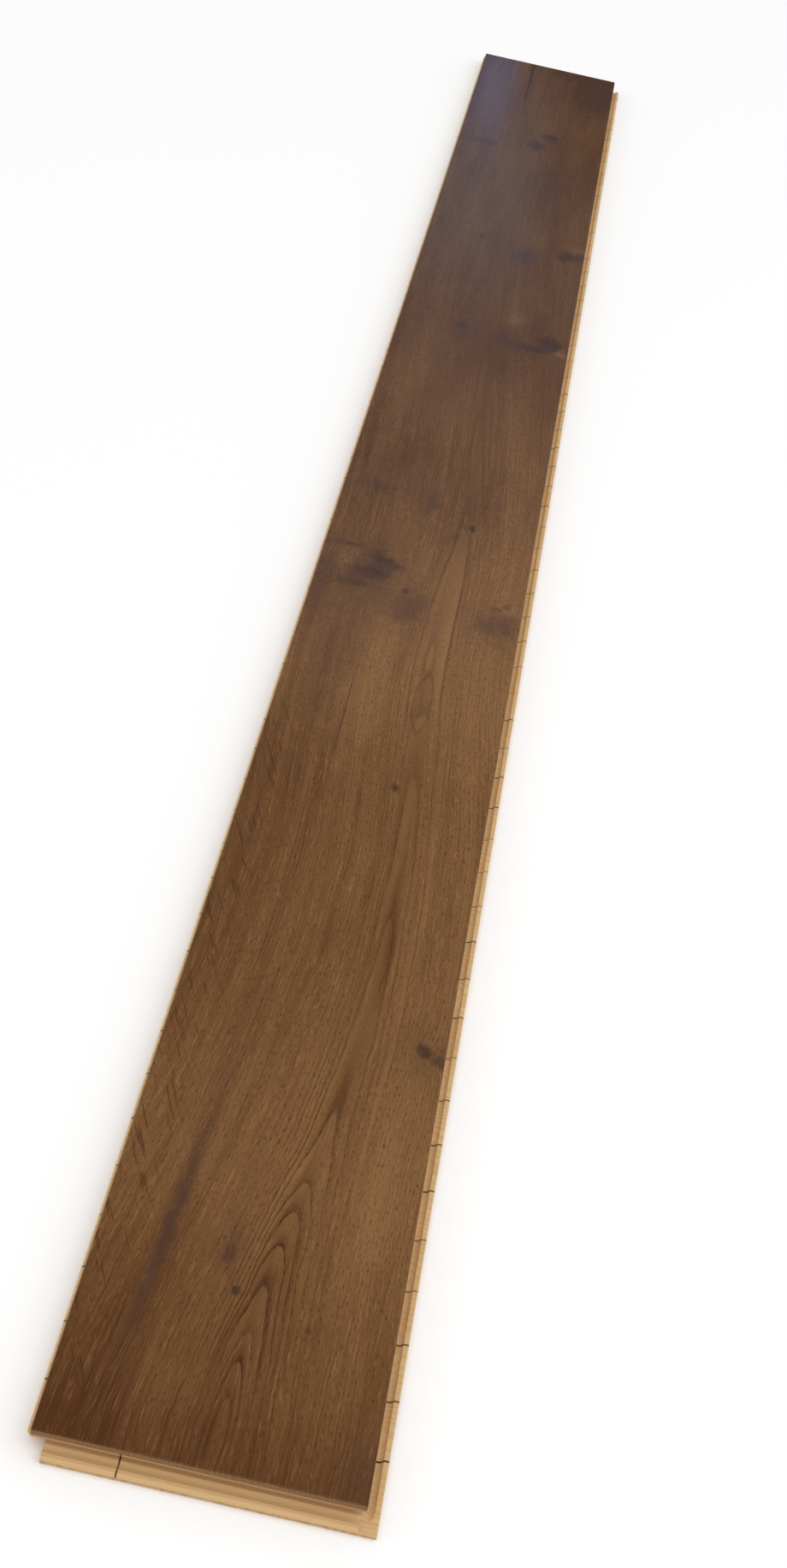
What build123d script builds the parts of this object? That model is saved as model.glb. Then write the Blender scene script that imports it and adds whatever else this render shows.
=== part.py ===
from build123d import *
import math
import os

os.makedirs("parts", exist_ok=True)

# Board, in millimetres; the face is what shows once the floor is laid
face_length = 2200.0
face_width = 162.0
board_thickness = 14.0
wear_thickness = 3.5
back_thickness = 2.0
face_bevel = 0.5

# Lower lip of the click joint, with the ridge that locks the next board
lip_reach = 7.0
ridge_width = 2.8
ridge_height = 1.9
ridge_rounding = 0.6
lip_chamfer = 0.5
recess_cover = 1.0
recess_offset = 1.3

# Groove of the click joint, milled in under the face
roof_cover = 1.9
groove_height = 4.2
long_groove_depth = 2.2
end_groove_depth = 4.8
lead_in = 0.6

# Tongue of the click joint
nose_chamfer = 0.8
joint_clearance = 0.15

# Core slats, laid across the board with joints that are not quite closed
slat_pitch = 38.0
first_joint = 36.0
slat_gaps = (0.9, 0.3, 0.6)
butt_joint = 43.5
butt_gap = 0.9

# Heights that follow, measured from the underside
core_top = board_thickness - wear_thickness
groove_roof = core_top - roof_cover
groove_shelf = groove_roof - groove_height
recess_floor = back_thickness + recess_cover
ridge_top = recess_floor + ridge_height
tongue_top = groove_roof - joint_clearance
tongue_underside = groove_shelf + joint_clearance
notch_roof = ridge_top + joint_clearance

# Places that follow, measured out from the face edge
ridge_inner = lip_reach - ridge_width
tongue_wall = lip_reach + joint_clearance
long_tongue = long_groove_depth - joint_clearance
end_tongue = end_groove_depth - joint_clearance

# The recess is a round hollow that ends at the ridge's inner edge
recess_half = ridge_inner - recess_offset
recess_radius = (recess_half**2 + ridge_height**2) / (2 * ridge_height)
recess_center = recess_floor + recess_radius
# The heel under the tongue is the same round, smaller by the clearance
heel_radius = recess_radius - joint_clearance


def half_width(radius, height):
    """Half the width of a round about the recess's centre, at a height."""
    return math.sqrt(radius**2 - (recess_center - height) ** 2)


def board_section(span, groove_depth):
    """Section over two opposite edges, with the tongue at 0 and the groove at span."""
    tongue_reach = groove_depth - joint_clearance
    with BuildSketch() as section:
        with BuildLine():
            face = Line(
                (face_bevel, board_thickness),
                (span - face_bevel, board_thickness),
            )
            groove = Polyline(
                face @ 1,
                (span, board_thickness - face_bevel),
                (span, groove_roof + lead_in),
                (span - lead_in, groove_roof),
                (span - groove_depth, groove_roof),
                (span - groove_depth, groove_shelf),
                (span + recess_offset - half_width(recess_radius, groove_shelf), groove_shelf),
            )
            recess = ThreePointArc(
                groove @ 1,
                (span + recess_offset, recess_floor),
                (span + ridge_inner, ridge_top),
            )
            ridge = Line(recess @ 1, (span + lip_reach - ridge_rounding, ridge_top))
            ridge_edge = TangentArc(
                ridge @ 1,
                (span + lip_reach, ridge_top - ridge_rounding),
                tangent=ridge % 1,
            )
            underside = Polyline(
                ridge_edge @ 1,
                (span + lip_reach, lip_chamfer),
                (span + lip_reach - lip_chamfer, 0),
                (tongue_wall + lip_chamfer, 0),
                (tongue_wall, lip_chamfer),
                (tongue_wall, notch_roof),
                (recess_offset + half_width(heel_radius, notch_roof), notch_roof),
            )
            heel = ThreePointArc(
                underside @ 1,
                (recess_offset, recess_floor + joint_clearance),
                (recess_offset - half_width(heel_radius, tongue_underside), tongue_underside),
            )
            Polyline(
                heel @ 1,
                (nose_chamfer - tongue_reach, tongue_underside),
                (-tongue_reach, tongue_underside + nose_chamfer),
                (-tongue_reach, tongue_top - nose_chamfer),
                (nose_chamfer - tongue_reach, tongue_top),
                (0, tongue_top),
                (0, board_thickness - face_bevel),
                face @ 0,
            )
        make_face()
    return section.sketch


def block(x_range, y_range, z_range):
    """A box between two values on each axis."""
    sizes = [high - low for low, high in (x_range, y_range, z_range)]
    corner = Box(*sizes, align=(Align.MIN, Align.MIN, Align.MIN))
    return Pos(x_range[0], y_range[0], z_range[0]) * corner


# Reach of the whole board, past the face on all four sides
left = -long_tongue
right = face_width + lip_reach
near = -lip_reach
far = face_length + end_tongue

# The two long edges and the two ends are milled one after the other
long_plane = Plane((0, near, 0), x_dir=(1, 0, 0), z_dir=(0, -1, 0))
long_pass = extrude(
    long_plane * board_section(face_width, long_groove_depth),
    amount=far - near,
    dir=(0, 1, 0),
)
end_plane = Plane((left, face_length, 0), x_dir=(0, -1, 0), z_dir=(-1, 0, 0))
end_pass = extrude(
    end_plane * board_section(face_length, end_groove_depth),
    amount=right - left,
    dir=(1, 0, 0),
)
milled = long_pass & end_pass

# Corner cuts let the next boards pass where two edge profiles meet
groove_back = face_width - long_groove_depth
milled -= block((left, tongue_wall), (near, end_groove_depth), (0, groove_roof))
milled -= block((groove_back, right), (near, 0), (recess_floor, groove_roof))
milled -= block((groove_back, right), (face_length - tongue_wall, far), (0, groove_roof))


def layer(z_low, z_high, y_range=(near, far), x_range=(left, right)):
    """The part of the milled board between two heights, or one bay of it."""
    return milled & block(x_range, y_range, (z_low, z_high))


wear_layer = layer(core_top, board_thickness)
back_veneer = layer(0, back_thickness)

# The joints start at the near end and repeat, with no slat under half a pitch wide
joints = [first_joint]
while joints[-1] + 1.5 * slat_pitch <= far:
    joints.append(joints[-1] + slat_pitch)
halves = [slat_gaps[i % len(slat_gaps)] / 2 for i in range(len(joints))]
starts = [near] + [y + half for y, half in zip(joints, halves)]
ends = [y - half for y, half in zip(joints, halves)] + [far]
bays = list(zip(starts, ends))

# The slat at the near end is pieced from two lengths
slats = [
    layer(back_thickness, core_top, bays[0], (left, butt_joint - butt_gap / 2)),
    layer(back_thickness, core_top, bays[0], (butt_joint + butt_gap / 2, right)),
]
slats += [layer(back_thickness, core_top, bay) for bay in bays[1:]]

# The origin is under the middle of the whole board
center = Pos(-(left + right) / 2, -(near + far) / 2, 0)
export_step(center * wear_layer, "parts/wear_layer.step")
export_step(center * Compound(children=slats), "parts/core_slats.step")
export_step(center * back_veneer, "parts/back_veneer.step")
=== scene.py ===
# %% [markdown]
# # A click parquet board
#
# The board is three layers of wood glued into one plank: a stained oak lamella to walk on, softwood
# slats laid across it, and a thin softwood veneer underneath. Its edges are milled into a click joint.
# The solids come from the CAD frame at their real size. This file only dresses them, so we begin by
# loading that frame and noting the box it fills.

# %% Load the frame
import math

import bmesh
import bpy
from mathutils import Euler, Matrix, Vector


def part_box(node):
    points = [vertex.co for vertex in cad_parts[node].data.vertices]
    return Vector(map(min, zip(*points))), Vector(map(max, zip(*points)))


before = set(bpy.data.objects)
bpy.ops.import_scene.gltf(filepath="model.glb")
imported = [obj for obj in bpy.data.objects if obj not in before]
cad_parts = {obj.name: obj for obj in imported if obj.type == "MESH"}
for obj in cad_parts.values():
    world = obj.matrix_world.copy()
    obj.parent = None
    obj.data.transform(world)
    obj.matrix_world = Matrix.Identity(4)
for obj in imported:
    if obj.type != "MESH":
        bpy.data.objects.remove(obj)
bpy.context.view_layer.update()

face_low, face_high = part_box("wear_layer")
print("nodes:", sorted(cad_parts))
print("face from", tuple(round(v, 4) for v in face_low), "to", tuple(round(v, 4) for v in face_high))

# %% [markdown]
# ## Writing shaders as sums
#
# A wood grain is mostly arithmetic: distances, waves and thresholds. Wiring dozens of Math nodes by hand
# is slow to read, so a small class stands for one wire. Adding or multiplying wires adds the nodes.
# The reflected forms let a number stand first, as in 1 - mask.


# %% A wire
class Wire:
    """One value in a node tree. Python's operators on it add Math nodes."""

    def __init__(self, finish, socket):
        self.finish = finish
        self.socket = socket

    def math(self, operation, *values):
        return self.finish.node("ShaderNodeMath", {"operation": operation}, dict(enumerate(values)))

    def __add__(self, other):
        return self.math("ADD", self, other)

    __radd__ = __add__

    def __sub__(self, other):
        return self.math("SUBTRACT", self, other)

    def __rsub__(self, other):
        return self.math("SUBTRACT", other, self)

    def __mul__(self, other):
        return self.math("MULTIPLY", self, other)

    __rmul__ = __mul__

    def __truediv__(self, other):
        return self.math("DIVIDE", self, other)

    def __rtruediv__(self, other):
        return self.math("DIVIDE", other, self)

    def __pow__(self, other):
        return self.math("POWER", self, other)

    def __rpow__(self, other):
        return self.math("POWER", other, self)

    def __abs__(self):
        return self.math("ABSOLUTE", self)

    def root(self):
        return self.math("SQRT", self)

    def whole(self):
        return self.math("FLOOR", self)

    def part(self):
        return self.math("FRACT", self)

    def most(self, other):
        return self.math("MAXIMUM", self, other)

    def least(self, other):
        return self.math("MINIMUM", self, other)

    def rise(self, start, end):
        """0 up to start, 1 from end on, and a smooth rise between them."""
        sockets = {"Value": self, "From Min": start, "From Max": end}
        return self.finish.node("ShaderNodeMapRange", {"interpolation_type": "SMOOTHSTEP"}, sockets)

    def pick(self, name):
        """Another output of the node that this wire comes from."""
        return Wire(self.finish, self.socket.node.outputs[name])


print("made the class", Wire.__name__)

# %% [markdown]
# ## One class for a finish
#
# A finish is a material and its node tree. Every node that isn't plain arithmetic comes from one method,
# which takes its type, its settings and its sockets. The rest of the class names what wood needs often:
# noise of a given size in millimetres, a blend of two colours, and the shader that ends the tree.


# %% A finish
class Finish:
    """A material whose nodes are made one call at a time."""

    def __init__(self, name):
        self.material = bpy.data.materials.new(name)
        self.material.use_nodes = True
        self.tree = self.material.node_tree
        self.tree.nodes.clear()

    def node(self, kind, settings=None, sockets=None, output=0):
        """Adds a node, sets it up, fills its sockets, and returns a wire from one of its outputs."""
        made = self.tree.nodes.new(kind)
        for name, value in (settings or {}).items():
            setattr(made, name, value)
        for name, value in (sockets or {}).items():
            if isinstance(value, Wire):
                self.tree.links.new(value.socket, made.inputs[name])
            else:
                made.inputs[name].default_value = value
        return Wire(self, made.outputs[output]) if made.outputs else None

    def noise(self, place, cell, detail=2.0, roughness=0.5):
        """Noise from 0 to 1 whose blotches are about one cell large along X, Y and Z."""
        shrink = tuple(1.0 / size for size in cell)
        scaled = self.node("ShaderNodeVectorMath", {"operation": "MULTIPLY"}, {0: place, 1: shrink})
        sockets = {"Vector": scaled, "Scale": 1.0, "Detail": detail, "Roughness": roughness}
        return self.node("ShaderNodeTexNoise", {"noise_dimensions": "3D"}, sockets)

    def blend(self, first, second, share):
        """A colour between two colours."""
        settings = {"data_type": "RGBA", "clamp_factor": True}
        return self.node("ShaderNodeMix", settings, {0: share, 6: first, 7: second}, output=2)

    def place(self):
        """Object coordinates in millimetres, from the near left corner of the oak face."""
        coordinates = self.node("ShaderNodeTexCoord", output="Object")
        corner = (-1000 * face_low.x, -1000 * face_low.y, 0.0)
        sockets = {0: coordinates, 1: (1000.0, 1000.0, 1000.0), 2: corner}
        return self.node("ShaderNodeVectorMath", {"operation": "MULTIPLY_ADD"}, sockets)

    def axes(self, place):
        """The three numbers of a place."""
        x = self.node("ShaderNodeSeparateXYZ", sockets={0: place})
        return x, x.pick("Y"), x.pick("Z")

    def point(self, x, y, z):
        """A place from three numbers or wires."""
        return self.node("ShaderNodeCombineXYZ", sockets={0: x, 1: y, 2: z})

    def surface(self, color, roughness, height, relief, **fixed):
        """Ends the tree in a shader with a colour, a roughness and a bump in metres."""
        bump = self.node(
            "ShaderNodeBump",
            sockets={"Strength": 1.0, "Distance": relief, "Height": height},
        )
        sockets = {"Base Color": color, "Roughness": roughness, "Normal": bump}
        for name, value in fixed.items():
            sockets[name.replace("_", " ")] = value
        shader = self.node("ShaderNodeBsdfPrincipled", sockets=sockets)
        self.node("ShaderNodeOutputMaterial", sockets={"Surface": shader})
        return self.material


print("made the class", Finish.__name__)

# %% [markdown]
# ## Colours as they look
#
# Shaders work in linear light, but a colour is easier to judge as it looks on a screen. So colours are
# written from 0 to 255, as a paint program shows them, and one function turns them into linear light.


# %% A tone
def tone(red, green, blue):
    """A colour written as it looks on a screen, 0 to 255, for a shader."""
    linear = []
    for value in (red, green, blue):
        share = value / 255
        linear.append(share / 12.92 if share <= 0.04045 else ((share + 0.055) / 1.055) ** 2.4)
    return (*linear, 1.0)


print("a mid brown is", tuple(round(v, 3) for v in tone(112, 78, 50)))

# %% [markdown]
# ## Oak: where the knots and stains lie
#
# Oak for floors is sawn from a trunk, so its figure is a slice through growth rings, and knots are the
# branches that the slice cuts. A random field would give some wood, but not this board. So the knots, the
# dark mineral stains and the paler or darker bands are listed one by one, in millimetres across and along
# the face.

# %% Knots, stains and bands
# Across, along, half width, half length, how dark
knots = (
    (148.0, 329.0, 3.6, 5.5, 0.75),
    (159.0, 322.0, 3.4, 5.0, 0.55),
    (69.0, 137.0, 2.6, 5.0, 0.45),
    (76.6, 113.5, 1.8, 2.4, 0.9),
    (117.5, 98.0, 1.1, 1.5, 0.5),
    (96.7, 588.0, 2.2, 4.0, 0.8),
    (45.0, 897.0, 7.0, 6.0, 0.55),
    (51.0, 881.0, 9.0, 12.0, 0.6),
    (38.0, 867.0, 10.0, 7.0, 0.5),
    (29.0, 848.0, 9.0, 6.0, 0.5),
    (19.0, 906.0, 9.0, 2.6, 0.45),
    (71.0, 852.0, 2.2, 3.0, 0.7),
    (150.0, 862.0, 2.8, 2.8, 0.45),
    (142.0, 855.0, 3.4, 2.0, 0.4),
    (110.0, 974.0, 2.6, 4.0, 0.85),
    (56.0, 1602.0, 2.8, 6.0, 0.7),
    (142.0, 1595.0, 6.0, 9.0, 0.85),
    (157.0, 1602.0, 5.0, 7.0, 0.6),
    (59.0, 1372.0, 3.0, 6.0, 0.6),
    (143.0, 1374.0, 8.0, 10.0, 0.9),
    (128.0, 1353.0, 10.0, 7.0, 0.7),
    (101.0, 1943.0, 7.0, 9.0, 0.8),
    (87.0, 1910.0, 7.0, 12.0, 0.85),
    (33.0, 1884.0, 8.0, 6.0, 0.65),
    (61.0, 2140.0, 1.5, 70.0, 0.95),
)
# Across, along, half width, half length, lean, how dark
stains = (
    (38.5, 205.0, 4.6, 110.0, 0.055, 0.3),
    (35.0, 138.0, 3.4, 52.0, 0.07, 0.6),
    (70.0, 142.0, 7.0, 16.0, 0.0, 0.4),
    (150.0, 325.0, 14.0, 24.0, 0.0, 0.34),
    (154.0, 14.0, 9.0, 26.0, 0.0, 0.3),
    (50.7, 655.0, 0.9, 68.0, 0.0, 0.6),
    (101.5, 698.0, 4.6, 26.0, 0.0, 0.3),
    (45.0, 872.0, 22.0, 44.0, 0.0, 0.4),
    (77.0, 828.0, 16.0, 26.0, 0.0, 0.5),
    (4.0, 840.0, 9.0, 60.0, 0.0, 0.5),
    (30.0, 760.0, 22.0, 130.0, 0.0, 0.25),
    (145.0, 830.0, 21.0, 24.0, 0.0, 0.55),
    (98.0, 955.0, 4.0, 8.0, 0.0, 0.45),
    (74.0, 1006.0, 9.0, 19.0, 0.0, 0.6),
    (28.0, 1012.0, 18.0, 8.0, 0.0, 0.5),
    (104.0, 1574.0, 13.0, 21.0, 0.0, 0.95),
    (146.0, 1602.0, 14.0, 14.0, 0.0, 0.4),
    (103.0, 1357.0, 11.0, 15.0, 0.0, 0.6),
    (126.0, 1352.0, 22.0, 11.0, 0.0, 0.5),
    (60.0, 1362.0, 9.0, 24.0, 0.0, 0.5),
    (112.0, 1790.0, 12.0, 50.0, 0.0, 0.4),
    (22.0, 1888.0, 24.0, 7.0, 0.0, 0.8),
    (152.0, 2135.0, 26.0, 56.0, 0.0, 0.55),
)
# Across, along, half width, half length, how much lighter or darker
bands = (
    (62.0, 705.0, 11.0, 120.0, 0.2),
    (137.0, 185.0, 9.0, 95.0, 0.22),
    (132.0, 470.0, 24.0, 150.0, 0.17),
    (117.0, 405.0, 2.6, 42.0, -0.4),
    (113.0, 470.0, 3.0, 60.0, -0.2),
    (90.0, 250.0, 16.0, 90.0, 0.12),
    (20.0, 883.0, 10.0, 15.0, 0.25),
    (153.0, 858.0, 6.0, 9.0, 0.3),
    (40.0, 1075.0, 44.0, 60.0, -0.16),
    (110.0, 1050.0, 60.0, 60.0, -0.1),
    (7.0, 420.0, 8.0, 260.0, 0.08),
    (104.0, 800.0, 9.0, 110.0, 0.14),
    (150.0, 2130.0, 32.0, 66.0, -0.3),
    (120.0, 2185.0, 24.0, 14.0, -0.25),
    (155.0, 1352.0, 5.0, 6.0, 0.5),
    (107.0, 1412.0, 8.0, 16.0, 0.3),
    (153.0, 1620.0, 7.0, 10.0, 0.3),
    (25.0, 1310.0, 16.0, 170.0, 0.18),
)
print(len(knots), "knots,", len(stains), "stains and", len(bands), "bands")

# %% [markdown]
# ## Oak: spots on the face
#
# Each knot, stain and band is a soft oval. The squared distance from its middle, counted in half sizes,
# is one dot product, so dozens of them stay cheap. Real ones have torn outlines, so a noise crumples the
# distance: more for knots, which have sharp edges, and less for stains and bands, which fade.


# %% Spots on the face
oak = Finish("stained_oak")
oak_place = oak.place()
oak_x, oak_y, oak_z = oak.axes(oak_place)
face_top = 1000 * face_high.z


def spread_from(x, y, half_width, half_length, lean=0.0, crumple=None):
    """Squared distance from a spot on the face, in half sizes. A crumple makes its outline uneven."""
    start = oak_place
    if lean:
        start = oak.point(oak_x - lean * (oak_y - y), oak_y, oak_z)
    scale = (1 / half_width, 1 / half_length, 0.0)
    offset = (-x / half_width, -y / half_length, 0.0)
    away = oak.node("ShaderNodeVectorMath", {"operation": "MULTIPLY_ADD"}, {0: start, 1: scale, 2: offset})
    if crumple:
        away = oak.node("ShaderNodeVectorMath", {"operation": "ADD"}, {0: away, 1: crumple})
    settings = {"operation": "DOT_PRODUCT"}
    return oak.node("ShaderNodeVectorMath", settings, {0: away, 1: away}, output="Value")


crumple_noise = oak.noise(oak_place, (11.0, 16.0, 11.0), detail=4.0, roughness=0.6).pick("Color")
crumple_x = oak.node("ShaderNodeSeparateColor", sockets={0: crumple_noise})
crumple_y = crumple_x.pick("Green")
sharp = 3.0
soft = 2.0
sharp_crumple = oak.point(sharp * (crumple_x - 0.5), sharp * (crumple_y - 0.5), 0.0)
soft_crumple = oak.point(soft * (crumple_x - 0.5), soft * (crumple_y - 0.5), 0.0)
print("the oak's face is at", round(face_top, 2), "mm")

# %% [markdown]
# ## Oak: knots push the rings aside
#
# A branch grows through the trunk's rings, so they swell around it. That swell is added to the ring field
# below, and bends the grain beside each of the larger knots. The same ovals say where the wood darkens.
# One slim oval is no knot but a place where the saw just touched a swelling, seen as a closed ring.

# %% Knots
bending_width = 2.5
lens_spread = spread_from(102.5, 703.0, 6.0, 40.0)
knot_swell = 2.0 * 0.4**lens_spread
knot_dark = 0.0
for x, y, half_width, half_length, dark in knots:
    if half_width > bending_width:
        knot_swell = knot_swell + half_width * 0.8 ** spread_from(x, y, half_width, half_length)
    spread = spread_from(x, y, half_width, half_length, crumple=sharp_crumple)
    knot_dark = knot_dark + dark * (1.0 - spread.rise(0.0, 3.6))
print("knots use", len(oak.tree.nodes), "nodes so far")

# %% [markdown]
# ## Oak: the growth rings
#
# Think of the trunk's heart as a line along the board, and of the rings as long cones around it. A point's
# ring is its distance from that line plus a lift along the board. Where the lift is steep the face cuts
# the cones as nested arches, and where it is slight they come out as straight lines.

# %% Rings around the heart line
wander = oak.noise(oak_place, (60.0, 380.0, 60.0), detail=2.0) - 0.5
ripple = oak.noise(oak_place, (9.0, 60.0, 9.0), detail=3.0) - 0.5
heart_x = 87.0 + 27.0 * oak_y.rise(-20.0, 430.0) - 14.0 * oak_y.rise(480.0, 780.0)
heart_x = heart_x + 5.0 * oak_y.rise(790.0, 960.0) - 20.0 * oak_y.rise(980.0, 1500.0)

# The power lies between a sharp cone and a round tube, and the tips of the arches are rounded
power = 1.3
tip_round = 2.8
ring_spacing = 3.0
waver = oak.noise(oak_place, (14.0, 42.0, 14.0), detail=2.0) - 0.5
sideways = oak_x - heart_x + 14.0 * wander + 1.6 * ripple + 3.6 * waver * (1.0 - oak_y.rise(220.0, 420.0))
depth = 0.098 * oak_y.math("SMOOTH_MIN", oak_y - 18.0, 212.0, 50.0) + 0.016 * oak_y
depth = depth + 0.6 * (oak_z - face_top)
depth = depth.math("SMOOTH_MAX", depth, 1.5, 3.0)
bowed = (sideways * sideways + tip_round**2).root() - tip_round
ring_distance = (bowed.most(0.0) ** power + depth**power) ** (1 / power) + knot_swell
finer = 0.4 * (sideways - 26.0).most(0.0) + 0.4 * (-8.0 - sideways).most(0.0)
uneven = oak.noise(oak.point(ring_distance, 0.0, 0.0), (6.0, 1.0, 1.0), detail=1.0)
ring_count = (ring_distance + finer) / ring_spacing + 1.5 * wander + 1.6 * uneven
ring_phase = ring_count.part()
ring_chance = oak.node("ShaderNodeTexWhiteNoise", {"noise_dimensions": "1D"}, {"W": ring_count.whole()})

# Fine grain is drawn in a place whose sideways axis follows the rings
grain_side = sideways / (abs(sideways) + 2.0)
grain_place = oak.point(ring_distance * grain_side, oak_y, oak_z)
print("rings are about", ring_spacing, "mm apart, and use", len(oak.tree.nodes), "nodes so far")

# %% [markdown]
# ## Oak: pores, fibres and rays
#
# Each spring oak grows a band of wide vessels. Cut along, they are short dark dashes in rows that follow
# the rings, and that is what makes oak look like oak. Noise that is stretched along the grain gives the
# dashes, and the ring's phase says where they gather. Ray flecks cross the grain at the left edge.

# %% Pores, fibres and rays
ring_line = ring_phase.rise(0.0, 0.05) * (1.0 - ring_phase.rise(0.1, 0.26))
spring_band = ring_phase.rise(0.0, 0.05) * (1.0 - ring_phase.rise(0.1, 0.8))
dashes = oak.noise(grain_place, (0.9, 11.0, 0.9), detail=2.0).rise(0.36, 0.56)
pore_size = (0.5, 5.0, 0.5)
pores = oak.noise(grain_place, pore_size, detail=1.0).rise(0.52, 0.64)
flecks = oak.noise(grain_place, (0.8, 14.0, 0.8), detail=2.0).rise(0.55, 0.72)
fibres = oak.noise(grain_place, (1.0, 55.0, 1.0), detail=3.0) - 0.5
streaks = oak.noise(grain_place, (5.0, 330.0, 5.0), detail=2.0) - 0.5
clouds = oak.noise(oak_place, (26.0, 150.0, 26.0), detail=3.0) - 0.5

# Rings show most in the arches near the end and along the heart line
near_arches = (1.0 - oak_y.rise(230.0, 420.0)) * (1.0 - abs(sideways).rise(7.0, 28.0))
near_arches = near_arches * oak_y.rise(10.0, 100.0)
heart_lines = (1.0 - abs(sideways).rise(8.0, 20.0)) * (1.0 - 0.4 * oak_y.rise(500.0, 650.0))
ring_strength = (0.25 + 0.95 * near_arches.most(0.5 * heart_lines)) * (1.0 + 2.6 * clouds)
ring_strength = ring_strength * (1.0 - 0.6 * oak_y.rise(900.0, 1400.0)) * (0.35 + 0.9 * ring_chance)

# Rays cross the grain at a slant, and show only along the left edge
ray_place = oak.point(oak_x + 0.38 * oak_y, oak_y, oak_z)
rays = oak.noise(ray_place, (2.2, 30.0, 2.2), detail=1.0).rise(0.6, 0.68)
rays = rays * (1.0 - oak_x.rise(12.0, 30.0)) * (1.0 - 0.7 * oak_y.rise(560.0, 700.0))
print("pores are about", pore_size[0], "mm wide and", pore_size[1], "mm long")

# %% [markdown]
# ## Oak: how light the wood is
#
# Before any line is drawn, the board has a ground tone that drifts: darker at the near end and along the
# left edge, lighter on the right, and darker again towards the far end. One number carries all of that.
# It starts from slow ramps, then takes the bands, the clouds and the fine fibres.

# %% How light the wood is
lightness = 0.14 + 0.2 * oak_y.rise(0.0, 60.0) + 0.3 * oak_y.rise(60.0, 210.0)
lightness = lightness - 0.15 * oak_y.rise(220.0, 400.0) + 0.21 * oak_y.rise(560.0, 720.0)
lightness = lightness - 0.25 * oak_y.rise(800.0, 1040.0) - 0.27 * oak_y.rise(1050.0, 1400.0)
left_dark = (1.0 - oak_x.rise(10.0, 75.0)) * (1.0 - 0.6 * oak_y.rise(900.0, 1300.0))
right_light = oak_x.rise(90.0, 135.0) * (1.0 - oak_y.rise(950.0, 1250.0))
lightness = lightness - 0.16 * left_dark + 0.1 * right_light
for x, y, half_width, half_length, change in bands:
    lightness = lightness + change * 0.4 ** spread_from(x, y, half_width, half_length, crumple=soft_crumple)
nearer = 1.0 - 0.5 * oak_y.rise(850.0, 1400.0)
lightness = lightness + 0.5 * clouds + nearer * (0.55 * streaks + 0.75 * fibres + 0.36 * flecks)
print("lightness uses", len(oak.tree.nodes), "nodes so far")

# %% [markdown]
# ## Oak: stain over grain
#
# The stain is darkest where the pores drink it. So the ground tone is blended step by step with darker
# browns: the spring bands, the rows of dashes, the single pores, the slim oval's outline, the rays, the
# mineral stains and at last the knots, which cover all the rest.

# %% Stain over grain
light_brown = tone(138, 99, 59)
deep_brown = tone(80, 45, 15)
pore_brown = tone(66, 37, 16)
knot_brown = tone(66, 43, 31)
stain_brown = tone(75, 50, 39)
stain_dark = 0.0
for x, y, half_width, half_length, lean, dark in stains:
    stain_dark = stain_dark + dark * 0.4 ** spread_from(x, y, half_width, half_length, lean, soft_crumple)

stained = oak.blend(deep_brown, light_brown, lightness)
stained = oak.blend(stained, deep_brown, 0.4 * spring_band * ring_strength)
stained = oak.blend(stained, pore_brown, 0.72 * ring_line * dashes * ring_strength)
stained = oak.blend(stained, pore_brown, (0.26 + 0.34 * spring_band) * pores)
lens_edge = 1.0 - abs(lens_spread + 1.5 * ripple - 1.0).rise(0.0, 0.3)
stained = oak.blend(stained, deep_brown, 0.4 * lens_edge)
stained = oak.blend(stained, pore_brown, 0.55 * rays)
stained = oak.blend(stained, stain_brown, (stain_dark * (1.15 + 1.5 * fibres)).least(0.88))
knot_grain = oak.noise(oak_place, (2.6, 5.0, 2.6), detail=3.0)
stained = oak.blend(stained, knot_brown, (knot_dark * (0.45 + 1.2 * knot_grain)).least(0.92))
print("the stained face uses", len(oak.tree.nodes), "nodes so far")

# %% [markdown]
# ## Oak: raw edges, gloss and relief
#
# The stain reaches only just below the face, so the milled edges show raw oak. A satin lacquer covers the
# face alone, as a coat over the wood. All of it ends in one shader: a base colour, a roughness, the coat
# and a bump for the open pores.

# %% The oak finish
raw_oak = tone(137, 103, 69)
raw_oak_dark = tone(110, 78, 49)
pore_relief = 0.00003
raw = oak.blend(raw_oak, raw_oak_dark, 0.3 * spring_band + 0.4 * pores)
stain_depth = face_top - oak_z + 0.4 * (oak.noise(oak_place, (3.0, 3.0, 1.0)) - 0.5)
stain_reach = 1.0 - stain_depth.rise(0.45, 0.75)
oak_color = oak.blend(raw, stained, stain_reach)

oak_roughness = 0.62 - 0.16 * stain_reach + 0.12 * pores
oak_height = 1.0 - oak.noise(oak_place, pore_size, detail=1.0).rise(0.53, 0.66)
oak_material = oak.surface(
    oak_color,
    oak_roughness,
    oak_height,
    pore_relief,
    Specular_IOR_Level=0.08,
    Coat_Weight=0.16 * stain_reach,
    Coat_Roughness=0.14,
)


def dress(node, material):
    """Gives a CAD node one material."""
    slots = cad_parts[node].data.materials
    slots.clear()
    slots.append(material)
    print(node, "wears", material.name, "with", len(material.node_tree.nodes), "nodes")


dress("wear_layer", oak_material)

# %% [markdown]
# ## The softwood slats
#
# The core is sawn across the board from spruce or pine. Every slat is cut from another place in a log, so
# its rings curve another way. A slat's number gives a random heart for its rings: the grain then runs
# straight across the board, with arches on the milled edges where the slats end.

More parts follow.
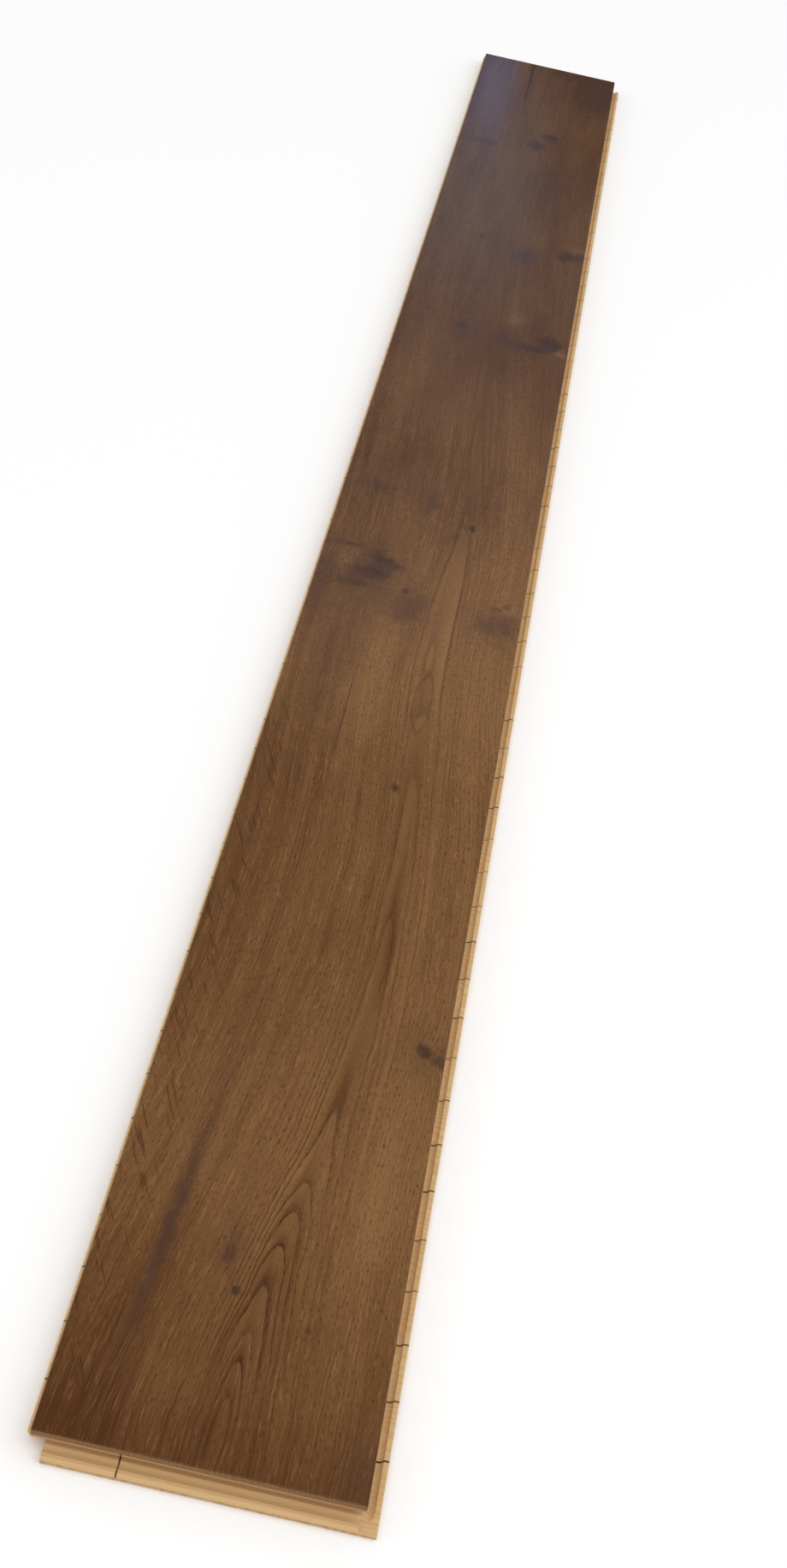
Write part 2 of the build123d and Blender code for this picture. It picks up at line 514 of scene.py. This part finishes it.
# %% Slats and their rings
core = Finish("softwood_core")
core_place = core.place()
_, core_y, core_z = core.axes(core_place)
slat_pitch = 38.0
first_joint = 36.0
last_joint = 56.0
slat_place = (core_y - first_joint) / slat_pitch
slat_number = slat_place.whole().most(-1.0).least(last_joint)
one_number = {"noise_dimensions": "1D"}
chance = core.node("ShaderNodeTexWhiteNoise", one_number, {"W": slat_number}, output="Color")
chance_a, chance_b, chance_c = core.axes(chance)
core_wobble = core.noise(core_place, (160.0, 9.0, 9.0), detail=2.0) - 0.5
slat_middle = first_joint + slat_pitch * (slat_number + 0.5)
to_side = core_y - slat_middle + 44.0 * (chance_a - 0.5)
to_heart = core_z + 4.0 + 26.0 * chance_b
slat_ring_spacing = 2.6
core_rings = (to_side * to_side + to_heart * to_heart).root() / slat_ring_spacing + 1.3 * core_wobble
late_wood = core_rings.part()
late_wood = late_wood.rise(0.35, 0.93) * (1.0 - late_wood.rise(0.95, 1.0))
core_fibres = core.noise(core_place, (40.0, 0.7, 0.7), detail=3.0) - 0.5
core_clouds = core.noise(core_place, (30.0, 12.0, 8.0), detail=2.0) - 0.5
print("slats are", slat_pitch, "mm wide, with rings", slat_ring_spacing, "mm apart")

# %% [markdown]
# ## The slats' colour and joints
#
# Softwood is pale in spring and amber at the end of each ring, and no two slats have quite the same tone.
# Painted shade darkens the faces inside the open joints, where shade falls in the narrow gaps, and the thin
# lip of softwood that is left between the oak and the groove is made darker.

# %% The core finish
pale_spruce = tone(219, 187, 139)
late_spruce = tone(186, 141, 90)
amber_spruce = tone(198, 159, 109)
# A dark brown for the painted shade inside the joints and for the darker lip above the groove
dark_core_brown = tone(84, 56, 32)
softwood_relief = 0.0001
late_share = 0.36 * late_wood + 0.4 * core_fibres + 0.3 * core_clouds + 0.1
core_color = core.blend(pale_spruce, late_spruce, late_share)
core_color = core.blend(core_color, amber_spruce, 0.5 * chance_c)

# Painted shade inside the open joints between the slats, stronger in some joints than in others
joint_number = (slat_place + 0.5).whole().most(0.0).least(last_joint)
joint_distance = slat_pitch * abs(slat_place - joint_number)
joint_chance = core.node("ShaderNodeTexWhiteNoise", one_number, {"W": joint_number + 0.5})
joint_painted_shade = (1.0 - joint_distance.rise(0.4, 0.9)) * (0.2 + 0.6 * joint_chance)
core_color = core.blend(core_color, dark_core_brown, joint_painted_shade)
# The thin softwood lip between the oak and the groove is made darker
lip_dark = 0.4 * core_z.rise(8.9, 9.3)
core_color = core.blend(core_color, dark_core_brown, lip_dark)
core_material = core.surface(
    core_color,
    0.72 + 0.1 * late_wood,
    core_fibres + 0.4 * late_wood,
    softwood_relief,
    Specular_IOR_Level=0.25,
)
dress("core_slats", core_material)

# %% [markdown]
# ## The back veneer
#
# The underside is a rotary-cut softwood veneer whose grain runs along the board. Rings peeled this way
# wander in broad flames. A distance from one line along the board, bent by a slow noise, gives them.

# %% The veneer finish
back = Finish("softwood_back")
back_place = back.place()
back_x, _, _ = back.axes(back_place)
back_wobble = back.noise(back_place, (45.0, 380.0, 45.0), detail=2.0) - 0.5
back_rings = (abs(back_x - 74.0) + 60.0 * back_wobble) / 7.0 + 2.0 * back_wobble
back_late = back_rings.part()
back_late = back_late.rise(0.3, 0.9) * (1.0 - back_late.rise(0.93, 1.0))
back_fibres = back.noise(back_place, (0.8, 60.0, 0.8), detail=3.0) - 0.5
back_clouds = back.noise(back_place, (40.0, 260.0, 40.0), detail=3.0) - 0.5
back_share = 0.42 * back_late + 0.8 * back_fibres + 0.5 * back_clouds + 0.16
pale_veneer = tone(196, 161, 115)
late_veneer = tone(158, 117, 74)
back_color = back.blend(pale_veneer, late_veneer, back_share)
back_material = back.surface(
    back_color,
    0.75 + 0.1 * back_late,
    back_fibres,
    softwood_relief,
    Specular_IOR_Level=0.25,
)
dress("back_veneer", back_material)

# %% [markdown]
# ## The floor
#
# The board lies on a wide, matt floor that is nearly white. It keeps the board's soft shadow, and it runs
# so far out that it fills the picture from most sides.

# %% The floor
floor_half = 30.0
near_white = (0.985, 0.985, 0.985, 1.0)
floor_mesh = bmesh.new()
bmesh.ops.create_grid(floor_mesh, x_segments=1, y_segments=1, size=floor_half)
floor_data = bpy.data.meshes.new("studio_floor")
floor_mesh.to_mesh(floor_data)
floor_mesh.free()
floor = bpy.data.objects.new("studio_floor", floor_data)
bpy.context.scene.collection.objects.link(floor)
pale = Finish("pale_floor")
pale_shader = pale.node(
    "ShaderNodeBsdfPrincipled",
    sockets={"Base Color": near_white, "Roughness": 0.9, "Specular IOR Level": 0.0},
)
pale.node("ShaderNodeOutputMaterial", sockets={"Surface": pale_shader})
floor_data.materials.append(pale.material)
print("the floor reaches", floor_half, "m each way at height 0")

# %% [markdown]
# ## The light
#
# An even white sky does most of the work and shows each colour about as it is written. A weak, wide lamp at
# the right and a smaller one in front give the edges some shape. Three small bluish windows beyond the far
# end are kept to reflections: they make the cool sheen in the lacquer and light nothing else.

# %% The light
sky_strength = 0.93
scene = bpy.context.scene
scene.view_settings.view_transform = "Standard"
sky = bpy.data.worlds.new("studio_sky")
sky.use_nodes = True
sky.node_tree.nodes["Background"].inputs["Color"].default_value = (1.0, 1.0, 1.0, 1.0)
sky.node_tree.nodes["Background"].inputs["Strength"].default_value = sky_strength
scene.world = sky


def add_lamp(name, location, target, width, height, watts, color, gloss_only=False):
    """A rectangular lamp that looks at a point. It can be kept to reflections."""
    data = bpy.data.lights.new(name, "AREA")
    data.shape = "RECTANGLE"
    data.size = width
    data.size_y = height
    data.energy = watts
    data.color = color
    made = bpy.data.objects.new(name, data)
    made.location = location
    made.rotation_euler = (Vector(target) - Vector(location)).to_track_quat("-Z", "Y").to_euler()
    made.visible_diffuse = not gloss_only
    scene.collection.objects.link(made)
    print(name, watts, "W")


add_lamp("soft_key", (2.2, -0.9, 2.6), (0.0, 0.0, 0.0), 2.6, 2.6, 15.0, (1.0, 0.98, 0.95))
add_lamp("front_fill", (0.2, -3.7, 2.0), (0.0, -1.0, 0.0), 2.0, 1.2, 6.0, (1.0, 1.0, 1.0))
add_lamp("window_low", (-0.135, 3.5, 0.81), (-0.06, 1.0, 0.0), 0.08, 0.18, 0.2, (0.2, 0.48, 1.0), True)
add_lamp("window_side", (-0.12, 3.5, 1.05), (-0.05, 0.8, 0.0), 0.26, 0.4, 0.39, (0.4, 0.72, 1.0), True)
add_lamp("window_high", (-0.06, 3.5, 1.7), (0.0, 0.4, 0.0), 0.6, 1.3, 1.7, (0.48, 0.74, 1.0), True)

# %% [markdown]
# ## A dark card
#
# Seen at a low angle, lacquer mirrors whatever stands beyond it, and a white sky would wash the colour out.
# Photographers put a dark card there. This one shows only in reflections: the camera doesn't see it, and it
# takes no light from the board or the floor.

# %% The dark card
card_half = 1.4
card_top = 8.0
card_y = 4.0
card_grey = (0.05, 0.05, 0.05, 1.0)
card_mesh = bmesh.new()
for x, z in ((-card_half, 0.0), (card_half, 0.0), (card_half, card_top), (-card_half, card_top)):
    card_mesh.verts.new((x, card_y, z))
card_mesh.faces.new(card_mesh.verts)
card_data = bpy.data.meshes.new("dark_card")
card_mesh.to_mesh(card_data)
card_mesh.free()
card = bpy.data.objects.new("dark_card", card_data)
scene.collection.objects.link(card)
card.visible_camera = False
card.visible_diffuse = False
card.visible_shadow = False
dark = Finish("dark_card")
dark_shader = dark.node("ShaderNodeBsdfDiffuse", sockets={"Color": card_grey})
dark.node("ShaderNodeOutputMaterial", sockets={"Surface": dark_shader})
card_data.materials.append(dark.material)
print("the card stands", card_y, "m behind the board's middle")

# %% [markdown]
# ## The camera
#
# The camera stands in front of the near end, about a metre up, and looks down along the board with a slight
# roll. Its place, turn and lens were fitted to the corners of the face, with no lens shift.

# %% The camera
camera_turn = (55.2847, -10.428, 7.5273)
camera_data = bpy.data.cameras.new("camera")
camera_data.lens = 55.033
camera_data.sensor_width = 36.0
camera = bpy.data.objects.new("camera", camera_data)
camera.location = (0.02107, -1.84167, 0.91683)
camera.rotation_euler = Euler([math.radians(angle) for angle in camera_turn], "XYZ")
scene.collection.objects.link(camera)
scene.camera = camera
print("camera at", tuple(round(v, 3) for v in camera.location))
